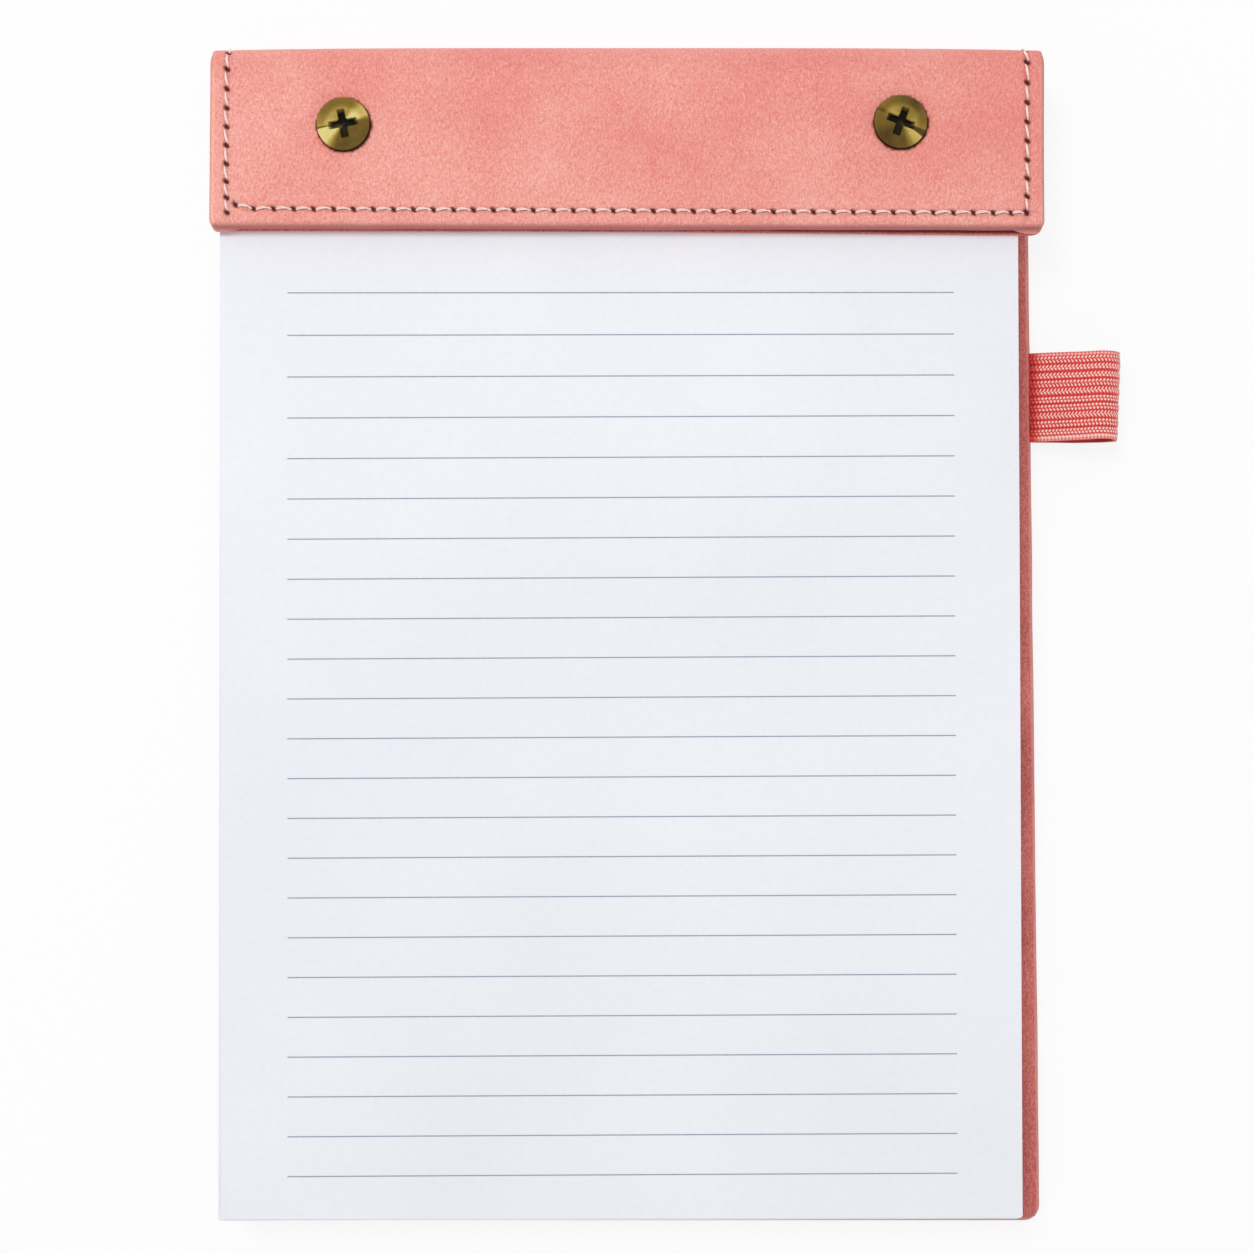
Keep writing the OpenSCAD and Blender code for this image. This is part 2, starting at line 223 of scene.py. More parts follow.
def bore(obj, x, y, z, radius, depth, sides):
    """Cuts a round hole into obj, with its middle at x, y and z."""
    bpy.ops.object.select_all(action="DESELECT")
    bpy.ops.mesh.primitive_cylinder_add(vertices=sides, radius=radius, depth=depth,
                                        location=(x, y, z))
    cut_out(obj, named("bore"))


def rows_of(obj, key):
    """The vertices' places ("co") or ways out ("normal") as rows of x, y and z."""
    found = np.empty(len(obj.data.vertices) * 3, np.float32)
    obj.data.vertices.foreach_get(key, found)
    return found.reshape(-1, 3)


def places(obj):
    return rows_of(obj, "co").astype(float)


def put(obj, co):
    obj.data.vertices.foreach_set("co", co.astype(np.float32).ravel())
    obj.data.update()


def paint(obj, name, values):
    """Keeps one value per vertex for the material."""
    layer = obj.data.attributes.new(name, "FLOAT", "POINT")
    layer.data.foreach_set("value", np.asarray(values, np.float32))


def painted(obj, name):
    """The values that were painted before, one per vertex."""
    values = np.empty(len(obj.data.vertices), np.float32)
    obj.data.attributes[name].data.foreach_get("value", values)
    return values


def merge(pieces, name):
    """Joins pieces into one object."""
    take(pieces[0])
    for piece in pieces:
        piece.select_set(True)
    bpy.ops.object.join()
    return named(name)


def copy_of(obj, matrix):
    twin = obj.copy()
    twin.data = obj.data.copy()
    twin.data.transform(matrix)
    bpy.context.scene.collection.objects.link(twin)
    return twin


def settle(obj, material, replaced=(), smooth=35):
    """Brings a finished piece to metres, gives it its finish and fixes it to the object."""
    obj.data.transform(Matrix.Scale(MM, 4))
    obj.data.materials.clear()
    obj.data.materials.append(material)
    take(obj)
    bpy.ops.object.shade_smooth_by_angle(angle=math.radians(smooth))
    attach(obj, "root")
    if replaced:
        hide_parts(*replaced)
    return obj


def ease(t):
    """Runs smoothly from 0 to 1 as t does."""
    t = np.clip(t, 0, 1)
    return t * t * (3 - 2 * t)


def ripple(x, y, seed):
    """Smooth noise between about -1 and 1 over two rows of numbers."""
    return np.array([noise.noise((a, b, seed)) for a, b in zip(x, y)])


# ---- Materials --------------------------------------------------------------------------


class Finish:
    """A material built from nodes, with short ways to add and join them."""

    def __init__(self, name, roughness, specular=0.5, **constants):
        self.material = bpy.data.materials.new(name)
        self.material.use_nodes = True
        self.nodes = self.material.node_tree.nodes
        self.shader = self.nodes["Principled BSDF"]
        self.shader.inputs["Roughness"].default_value = roughness
        self.shader.inputs["Specular IOR Level"].default_value = specular
        for key, value in constants.items():
            self.shader.inputs[key.replace("_", " ")].default_value = value

    def add(self, kind, settings=None, **inputs):
        node = self.nodes.new("ShaderNode" + kind)
        for key, value in (settings or {}).items():
            setattr(node, key, value)
        for key, value in inputs.items():
            self.join(value, node.inputs[key.replace("_", " ")])
        return node

    def join(self, value, socket):
        if isinstance(value, bpy.types.NodeSocket):
            self.material.node_tree.links.new(value, socket)
        else:
            socket.default_value = value

    def space(self, scale=(1, 1, 1), turn=(0, 0, 0), shift=(0, 0, 0)):
        """The piece's own coordinates, in millimetres, stretched, turned and moved."""
        where = self.add("TexCoord").outputs["Object"]
        scaled = [1000 * s for s in scale]
        return self.add("Mapping", Vector=where, Scale=scaled, Rotation=turn,
                        Location=shift).outputs["Vector"]

    def noise(self, vector, scale, detail=2.0, rough=0.5, distortion=0.0):
        node = self.add("TexNoise", Vector=vector, Scale=scale, Detail=detail, Roughness=rough,
                        Distortion=distortion)
        return node.outputs["Fac"]

    def cells(self, vector, scale):
        return self.add("TexVoronoi", Vector=vector, Scale=scale).outputs["Distance"]

    def sum(self, kind, a, b=None, c=None):
        node = self.nodes.new("ShaderNodeMath")
        node.operation = kind
        for value, socket in zip((a, b, c), node.inputs):
            if value is not None:
                self.join(value, socket)
        return node.outputs[0]

    def spread(self, value, low, high, to_low=0.0, to_high=1.0):
        """Stretches the range low..high over to_low..to_high."""
        node = self.add("MapRange", Value=value)
        for key, number in (("From Min", low), ("From Max", high), ("To Min", to_low),
                            ("To Max", to_high)):
            node.inputs[key].default_value = number
        return node.outputs["Result"]

    def ramp(self, value, *stops):
        """Colours, as written on screen in 0..255, placed along a value."""
        return self.steps(value, [(place, screen(*colour)) for place, colour in stops])

    def steps(self, value, stops):
        """Colours of light placed along a value."""
        node = self.add("ValToRGB", Fac=value)
        steps = node.color_ramp.elements
        while len(steps) < len(stops):
            steps.new(0.5)
        for step, (place, colour) in zip(steps, stops):
            step.position = place
            step.color = colour
        return node.outputs["Color"]

    def blend(self, share, a, b):
        node = self.nodes.new("ShaderNodeMix")
        node.data_type = "RGBA"
        self.join(share, node.inputs["Factor"])
        self.join(a, node.inputs[6])
        self.join(b, node.inputs[7])
        return node.outputs[2]

    def kept(self, name):
        """One value per vertex that was painted on the piece."""
        return self.add("Attribute", {"attribute_name": name}).outputs["Fac"]

    def bump(self, height, depth, strength=1.0, under=None):
        """Relief of that depth in millimetres."""
        node = self.add("Bump", Height=height, Strength=strength, Distance=depth * MM)
        if under is not None:
            self.join(under, node.inputs["Normal"])
        return node.outputs["Normal"]

    def wear(self, colour, roughness=None, normal=None):
        for key, value in (("Base Color", colour), ("Roughness", roughness), ("Normal", normal)):
            if value is not None:
                self.join(value, self.shader.inputs[key])
        return self.material


def screen(red, green, blue):
    """A colour as it looks on screen, turned into light."""
    parts = [c / 255 for c in (red, green, blue)]
    return [c / 12.92 if c <= 0.04045 else ((c + 0.055) / 1.055) ** 2.4 for c in parts] + [1.0]


def leatherette(name, dark, base, pale, rim_highlight, shade_tone, deep, paler=0.0):
    """Nubuck-like leatherette: clouds, fine pebbles and short slanting streaks, and painted light
    that makes it a little darker from left to right. The three colours after pale are those of the
    painted highlight along its sides, the painted shade on its turned edges and rims, and the
    painted shade in its needle holes and gaps. It gets paler by that much from the spine to the
    flap's free edge."""
    look = Finish(name, 0.62, 0.28, Sheen_Weight=0.12, Sheen_Roughness=0.5)
    flat = look.space()
    slanted = look.space(scale=(1.0, 0.4, 1.0), turn=(0, 0, math.radians(-38)))
    crossing = look.space(scale=(1.0, 0.5, 1.0), turn=(0, 0, math.radians(52)))
    clouds = look.noise(flat, 0.045, 2.0, 0.5)
    spots = look.noise(flat, 0.3, 2.0, 0.5)
    streaks = look.noise(slanted, 3.0, 1.0, 0.5)
    creases = look.noise(crossing, 3.2, 1.0, 0.5)
    grain = look.noise(flat, 3.1, 1.0, 0.5, 0.3)
    pebbles = look.cells(look.space(scale=(1.0, 0.8, 1.0), turn=(0, 0, 0.6)), 2.4)
    crumbs = look.noise(flat, 4.2, 2.0, 0.6)
    split = look.add("SeparateXYZ", Vector=flat)
    across = split.outputs["X"]
    fade = look.spread(split.outputs["Y"], FLAP_Y, SPINE_Y, paler, 0.0)
    tone = look.sum("MULTIPLY_ADD", clouds, 0.4, look.sum("MULTIPLY", spots, 0.08))
    tone = look.sum("MULTIPLY_ADD", streaks, 0.42, tone)
    tone = look.sum("MULTIPLY_ADD", creases, 0.22, tone)
    tone = look.sum("MULTIPLY_ADD", grain, 0.52, tone)
    tone = look.sum("MULTIPLY_ADD", pebbles, -0.12, tone)
    # Painted light: the tone grows a little darker from left to right.
    tone = look.sum("MULTIPLY_ADD", across, -0.0005, look.sum("ADD", tone, fade))
    tone = look.spread(tone, 0.58 + paler / 2, 0.98 + paler / 2)
    colour = look.ramp(tone, (0.0, dark), (0.5, base), (1.0, pale))
    # Painted highlight along the sides, painted shade on turned edges and rims, and painted shade
    # in needle holes and gaps.
    colour = look.blend(look.kept("rim_highlight"), colour, screen(*rim_highlight))
    colour = look.blend(look.kept("shade"), colour, screen(*shade_tone))
    colour = look.blend(look.kept("pit_and_shade"), colour, screen(*deep))
    height = look.sum("MULTIPLY_ADD", streaks, 0.5, look.sum("MULTIPLY", pebbles, -0.45))
    height = look.sum("MULTIPLY_ADD", grain, 0.8, height)
    height = look.sum("MULTIPLY_ADD", crumbs, 0.2, height)
    relief = look.bump(height, 0.12, 0.6)
    rough = look.spread(spots, 0.3, 0.7, 0.55, 0.72)
    return look.wear(colour, rough, relief)


def thread_finish():
    look = Finish("sewing_thread", 0.55, 0.35, Sheen_Weight=0.3)
    fibres = look.noise(look.space(), 7.0, 3.0, 0.6)
    tone = look.spread(fibres, 0.3, 0.7)
    colour = look.ramp(tone, (0.0, (244, 208, 200)), (1.0, (255, 242, 237)))
    return look.wear(colour, None, look.bump(fibres, 0.05, 0.5))


def paper_finish(name, dark, pale):
    look = Finish(name, 0.75, 0.25)
    flat = look.space()
    pulp = look.noise(flat, 0.9, 4.0, 0.6)
    wide = look.noise(flat, 0.02, 2.0)
    tone = look.sum("MULTIPLY_ADD", pulp, 0.4, look.sum("MULTIPLY", wide, 0.6))
    colour = look.ramp(look.spread(tone, 0.3, 0.7), (0.0, dark), (1.0, pale))
    return look.wear(colour, None, look.bump(pulp, 0.02, 0.3))


def ink_finish():
    look = Finish("ruling_ink", 0.7, 0.25)
    flecks = look.noise(look.space(), 2.5, 3.0, 0.6)
    tone = look.spread(flecks, 0.3, 0.7)
    colour = look.ramp(tone, (0.0, (140, 148, 170)), (1.0, (166, 172, 192)))
    return look.wear(colour)


def board_finish(name, dark, pale):
    look = Finish(name, 0.85, 0.2)
    fibres = look.noise(look.space(), 1.6, 5.0, 0.7)
    colour = look.ramp(look.spread(fibres, 0.3, 0.7), (0.0, dark), (1.0, pale))
    return look.wear(colour, None, look.bump(fibres, 0.05, 0.4))


def brass_finish(name, centre=None, turn=0.0, fan=()):
    """Aged brass. On a screw head, fine rings run round its middle, the cross gets painted shade
    towards its bottom with painted glints on its lower walls, the face beside the cross a painted
    highlight on its upper side, and fan gives painted highlights: how pale the face is at shares
    of a turn from its right arm."""
    look = Finish(name, 0.42, 0.5, Metallic=0.55)
    flat = look.space()
    clouds = look.noise(flat, 0.5, 4.0, 0.6)
    specks = look.noise(flat, 3.0, 3.0, 0.65)
    tone = look.sum("MULTIPLY_ADD", clouds, 0.5, look.sum("MULTIPLY", specks, 0.5))
    tone = look.spread(tone, 0.25, 0.75, -0.12, 0.12)
    relief = None
    if centre:
        a = math.radians(-turn)
        x, y = centre
        shift = (-x * math.cos(a) + y * math.sin(a), -x * math.sin(a) - y * math.cos(a), 0)
        middle = look.space(turn=(0, 0, a), shift=shift)
        split = look.add("SeparateXYZ", Vector=middle)
        angle = look.sum("ARCTAN2", split.outputs["Y"], split.outputs["X"])
        share = look.sum("FRACT", look.sum("MULTIPLY_ADD", angle, 0.5 / math.pi, 1.0))
        # Painted highlights by the angle round the face.
        painted_highlights = look.steps(share, [(place, (level, level, level, 1)) for place, level in fan])
        away = look.add("VectorMath", {"operation": "LENGTH"},
                        Vector=look.add("CombineXYZ", X=split.outputs["X"],
                                        Y=split.outputs["Y"]).outputs[0]).outputs["Value"]
        # Painted highlight on the face just beside the cross, towards its upper side.
        inner = look.sum("MULTIPLY", look.spread(away, 2.7, 3.7, 0.3, 0.0),
                         look.spread(split.outputs["Y"], -0.2, 0.4))
        tone = look.sum("ADD", tone, look.sum("ADD", painted_highlights, inner))
        rings = look.add("TexWave", {"wave_type": "RINGS", "rings_direction": "Z"},
                         Vector=middle, Scale=2.6, Distortion=0.6, Detail=2.0,
                         Detail_Scale=1.5).outputs["Fac"]
        relief = look.bump(rings, 0.01, 0.7)
    else:
        tone = look.sum("ADD", tone, 0.5)
    colour = look.ramp(tone, (0.0, (92, 69, 20)), (0.45, (172, 141, 58)), (0.8, (240, 213, 118)),
                       (1.0, (255, 240, 158)))
    if centre:
        # Painted shade in the cross recess.
        colour = look.blend(look.kept("depth"), colour, screen(14, 8, 3))
    relief = look.bump(specks, 0.012, 0.5, relief)
    rough = look.spread(specks, 0.3, 0.7, 0.36, 0.5)
    return look.wear(colour, rough, relief)


def elastic_finish():
    """Knitted elastic: the painted height of its knit turns from dark furrow to pale stitch, and
    carries painted shade near the case's edge and inside the loop.
    """
    look = Finish("knitted_elastic", 0.8, 0.2, Sheen_Weight=0.25)
    fuzz = look.noise(look.space(), 5.0, 3.0, 0.65)
    height = look.sum("MULTIPLY_ADD", fuzz, 0.24, look.kept("yarn_and_shade"))
    colour = look.ramp(look.spread(height, 0.1, 1.15), (0.0, (130, 26, 22)), (0.12, (214, 58, 50)),
                       (0.5, (240, 136, 128)), (1.0, (255, 228, 220)))
    return look.wear(colour, None, look.bump(fuzz, 0.06, 0.5))


def floor_finish():
    """A white floor that still takes the object's shadow."""
    look = Finish("white_floor", 0.9, 0.0)
    look.shader.inputs["Base Color"].default_value = (0.93, 0.93, 0.93, 1)
    path = look.add("LightPath")
    seen = look.sum("MAXIMUM", path.outputs["Is Camera Ray"], path.outputs["Is Glossy Ray"])
    seen = look.sum("MAXIMUM", seen, path.outputs["Is Transmission Ray"])
    share = look.sum("MULTIPLY", seen, 0.86)
    glow = look.add("Emission")
    mixed = look.add("MixShader", Fac=share)
    look.join(look.shader.outputs["BSDF"], mixed.inputs[1])
    look.join(glow.outputs[0], mixed.inputs[2])
    look.join(mixed.outputs[0], look.nodes["Material Output"].inputs["Surface"])
    return look.material


# ---- Camera, light and floor ------------------------------------------------------------


def set_camera():
    bpy.ops.object.camera_add(location=[c * MM for c in EYE], rotation=(0, 0, 0))
    camera = named("camera")
    camera.data.lens = LENS
    camera.data.sensor_width = 36
    camera.data.clip_start = 0.01
    bpy.context.scene.camera = camera


def set_light():
    """A bright room that is dimmer overhead, and one large lamp beyond the spine."""
    scene = bpy.context.scene
    scene.view_settings.view_transform = "Standard"
    world = bpy.data.worlds.new("room")
    scene.world = world
    world.use_nodes = True
    nodes, links = world.node_tree.nodes, world.node_tree.links
    where = nodes.new("ShaderNodeTexCoord")
    split = nodes.new("ShaderNodeSeparateXYZ")
    ramp = nodes.new("ShaderNodeValToRGB")
    links.new(where.outputs["Generated"], split.inputs[0])
    links.new(split.outputs["Z"], ramp.inputs[0])
    ramp.color_ramp.elements[0].color = (1.0, 1.0, 1.0, 1)
    ramp.color_ramp.elements[1].color = (0.42, 0.42, 0.43, 1)
    links.new(ramp.outputs["Color"], nodes["Background"].inputs["Color"])
    toward = Vector((-0.3, 0.42, 1.0)).normalized()
    spot = Vector((0, 0, 0.01)) + toward * 1.15
    bpy.ops.object.light_add(type="AREA", location=spot)
    lamp = named("lamp")
    lamp.rotation_euler = toward.to_track_quat("Z", "Y").to_euler()
    lamp.data.shape = "DISK"
    lamp.data.size = 0.42
    lamp.data.energy = 5.6
    lamp.visible_glossy = False


def lay_floor():
    """The floor lies just below the lowest point, so that the two faces don't meet."""
    low = cad_box[0][2]
    bpy.ops.object.select_all(action="DESELECT")
    bpy.ops.mesh.primitive_plane_add(size=6, location=(0, 0, low - 0.00002))
    floor = named("floor")
    floor.data.materials.append(floor_finish())


# ---- How the real case has settled ------------------------------------------------------


def settle_case(co):
    """The back lies turned a little under the pad, the flap leans a little the other way and
    flares towards its free edge, and the spine bulges between its ends."""
    x, y, z = co.T
    over = ease((z - 5) / 8)
    under = 1 - over
    drift = (0.0117 * (72 - y) + 0.11) * ease((104 - y) / 30)
    reach = SPINE_Y - y
    right = (x / HALF_W + 1) / 2
    moved = co.copy()
    moved[:, 0] += under * drift + over * ((0.0123 * right - 0.009) * reach + 0.08 * right)
    moved[:, 1] -= over * 0.002 * x * reach / (SPINE_Y - FLAP_Y)
    bulge = 0.26 + 0.48 * (1 - np.abs(x / HALF_W).clip(0, 1) ** 4)
    moved[:, 1] += bulge * ease((y - 99) / 9) * ease((z + 1) / 5)
    moved[:, 1] -= under * 0.5 * ease((-95 - y) / 12)
    return moved


# ---- Case cover and lining --------------------------------------------------------------


def folded_panel(name, half_w, foot_y, flap_y, depth, thickness, corners, rim, pitch):
    """A panel that runs along the back, round the spine and over as the flap. depth is how
    far it lies below the case's outer face, corners are its corner radii at foot and flap, rim
    is the rounding of its edges, and pitch is about how wide its faces are."""
    foot_corner, flap_corner = corners
    obj = block(name, (-half_w, half_w), (foot_y, FOLD_Y), (depth, depth + thickness))
    open_mesh(obj)
    pick(obj, "EDGE", lambda e: all(abs(v.co.y - foot_y) < 0.01 for v in e.verts)
         and abs(e.verts[0].co.x - e.verts[1].co.x) < 0.01
         and abs(e.verts[0].co.y - e.verts[1].co.y) < 0.01)
    bpy.ops.mesh.bevel(offset=foot_corner, segments=6, affect="EDGES")
    inner = half_w - max(flap_corner, foot_corner if foot_corner < 2 else 0, rim) - 0.25
    lines = int(2 * inner / pitch)
    slice_up(0, [-inner + 2 * inner * i / lines for i in range(lines + 1)])
    rows = int((FOLD_Y - foot_y - foot_corner) / (2 * pitch))
    slice_up(1, [foot_y + foot_corner + 0.2 + i * (FOLD_Y - foot_y - foot_corner - 1) / rows
                 for i in range(rows)])
    pick(obj, "FACE", lambda f: f.calc_center_median().y > FOLD_Y - 0.01)
    bpy.ops.mesh.spin(steps=8, angle=math.radians(-90), center=(0, FOLD_Y, FOLD_R),
                      axis=(1, 0, 0))
    height = CASE_H - 2 * FOLD_R
    for i in range(6):
        bpy.ops.mesh.extrude_region_move(TRANSFORM_OT_translate={"value": (0, 0, height / 6)})
    bpy.ops.mesh.spin(steps=8, angle=math.radians(-90), center=(0, FOLD_Y, CASE_H - FOLD_R),
                      axis=(1, 0, 0))
    reach = FOLD_Y - flap_y
    last = max(flap_corner, rim) + 0.25
    count = int((reach - last) / pitch)
    for i in range(count):
        step = (reach - last) / count
        bpy.ops.mesh.extrude_region_move(TRANSFORM_OT_translate={"value": (0, -step, 0)})
    bpy.ops.mesh.extrude_region_move(TRANSFORM_OT_translate={"value": (0, -last, 0)})
    bpy.ops.mesh.select_all(action="SELECT")
    bpy.ops.mesh.remove_doubles(threshold=0.001)
    pick(obj, "FACE", lambda f: all(len(e.link_faces) > 2 for e in f.edges))
    bpy.ops.mesh.delete(type="FACE")
    pick(obj, "EDGE", lambda e: all(abs(v.co.y - flap_y) < 0.01 and abs(v.co.x) > half_w - 0.01
                                    for v in e.verts))
    bpy.ops.mesh.bevel(offset=flap_corner, segments=5, affect="EDGES")
    pick(obj, "EDGE", lambda e: len(e.link_faces) == 2
         and e.calc_face_angle() > math.radians(60))
    bpy.ops.mesh.bevel(offset=rim, segments=4 if rim > 0.5 else 2, affect="EDGES")
    bpy.ops.mesh.select_all(action="SELECT")
    bpy.ops.mesh.normals_make_consistent(inside=False)
    close_mesh()
    return obj


def on_flap(co):
    """Share by which a place belongs to the flap's face."""
    return ease((co[:, 2] - 15.4) / 1.2) * ease((FOLD_Y + 2 - co[:, 1]) / 4)


def seam_side(side, short):
    """Needle holes of one side, from the flap's corner over the spine to the foot: each a
    place and the way out of the leatherette there. short is by how much the first stitches
    fall short of full ones."""
    x = side * STITCH_X + (0.08 if side > 0 else -0.1)
    runs = [
        (FOLD_Y - STITCH_FLAP_Y, lambda s: ((x - side * 0.2 * ease(1 - s / 5.0),
                                             STITCH_FLAP_Y + s - 0.15, CASE_H), (0, 0, 1))),
        (math.pi / 2 * FOLD_R, lambda s: round_fold(x, s / FOLD_R, CASE_H - FOLD_R, 1)),
        (CASE_H - 2 * FOLD_R, lambda s: ((x, SPINE_Y, CASE_H - FOLD_R - s), (0, 1, 0))),
        (math.pi / 2 * FOLD_R, lambda s: round_fold(x, math.pi / 2 - s / FOLD_R, FOLD_R, -1)),
        (FOLD_Y - STITCH_FOOT_Y, lambda s: ((x, FOLD_Y - s, 0), (0, 0, -1))),
    ]
    total = sum(length for length, _ in runs)
    count = round((total + short) / PITCH)
    holes = []
    for i in range(count + 1):
        s = (total + short) * i / count - short * (1 - 0.5 ** i) + 0.2 * side * (i < 1)
        for length, way in runs:
            if s <= length + 1e-6:
                holes.append([Vector(part) for part in way(s)])
                break
            s -= length
    return holes


def round_fold(x, angle, z, up):
    out = Vector((0, math.sin(angle), up * math.cos(angle)))
    return Vector((x, FOLD_Y, z)) + FOLD_R * out, out


def seam_row(y, z, up, x_from, x_to, count):
    """Needle holes straight across the case, with that many stitches between them."""
    return [[Vector((x_from + (x_to - x_from) * i / count, y, z)), Vector((0, 0, up))]
            for i in range(count + 1)]


def seams():
    """All rows of needle holes, with the slope that the flap's row has in the real one. Its
    first stitch starts beside the corner's hole, and its last two are short."""
    flap_row = seam_row(STITCH_FLAP_Y, CASE_H, 1, -68.05, 66.85, 37)
    for x, at in ((-71.35, 0), (70.05, len(flap_row) + 1), (STITCH_X - 0.2, len(flap_row) + 2)):
        flap_row.insert(at, [Vector((x, STITCH_FLAP_Y, CASE_H)), Vector((0, 0, 1))])
    for place, _ in flap_row:
        place.y += 0.08 - 0.004 * place.x
    flap_row[0][0].y += 0.7
    return {"left": seam_side(-1, 1.9), "right": seam_side(1, 1.0), "flap": flap_row,
            "foot": seam_row(STITCH_FOOT_Y, 0, -1, STITCH_X, -STITCH_X, 42)}


SEAMS = seams()


def holes_near(co):
    """How deep each vertex lies in a needle hole, from 0 to 1, and in the seam's furrow."""
    pit_and_shade = np.zeros(len(co))
    furrow = np.zeros(len(co))
    for name, row in SEAMS.items():
        for i, (place, out) in enumerate(row):
            near = np.where(np.abs(co - np.array(place)).max(1) < 2.4)[0]
            if not len(near):
                continue
            other = row[i + 1][0] if i + 1 < len(row) else 2 * place - row[i - 1][0]
            along = (other - place).normalized()
            across = out.cross(along)
            slant = math.radians(-38 if name in ("flap", "foot") else 52)
            u = (co[near] - np.array(place)) @ np.array(along)
            v = (co[near] - np.array(place)) @ np.array(across)
            long = u * math.cos(slant) + v * math.sin(slant)
            short = -u * math.sin(slant) + v * math.cos(slant)
            size = np.sqrt((long / 0.66) ** 2 + (short / 0.42) ** 2)
            pit_and_shade[near] = np.maximum(pit_and_shade[near], ease(1.45 - size))
            furrow[near] = np.maximum(furrow[near], ease(1.5 - np.abs(v) / 0.55)
                                      * ease((2.4 - np.abs(u)) / 0.8))
    return pit_and_shade, furrow


def seam_faces(face):
    """Faces within reach of a stitch row, on the outer side of the case."""
    x, y, z = face.calc_center_median()
    out = face.normal
    side = abs(abs(x) - STITCH_X) < 1.3
    if z > 12 and out.z > 0.5:
        return (side and y > STITCH_FLAP_Y - 1.2) or abs(y - STITCH_FLAP_Y) < 1.5
    if z < 5 and out.z < -0.5:
        return (side and y > STITCH_FOOT_Y - 1.2) or abs(y - STITCH_FOOT_Y) < 1.3
    return side and out.y > 0.3 and y > FOLD_Y


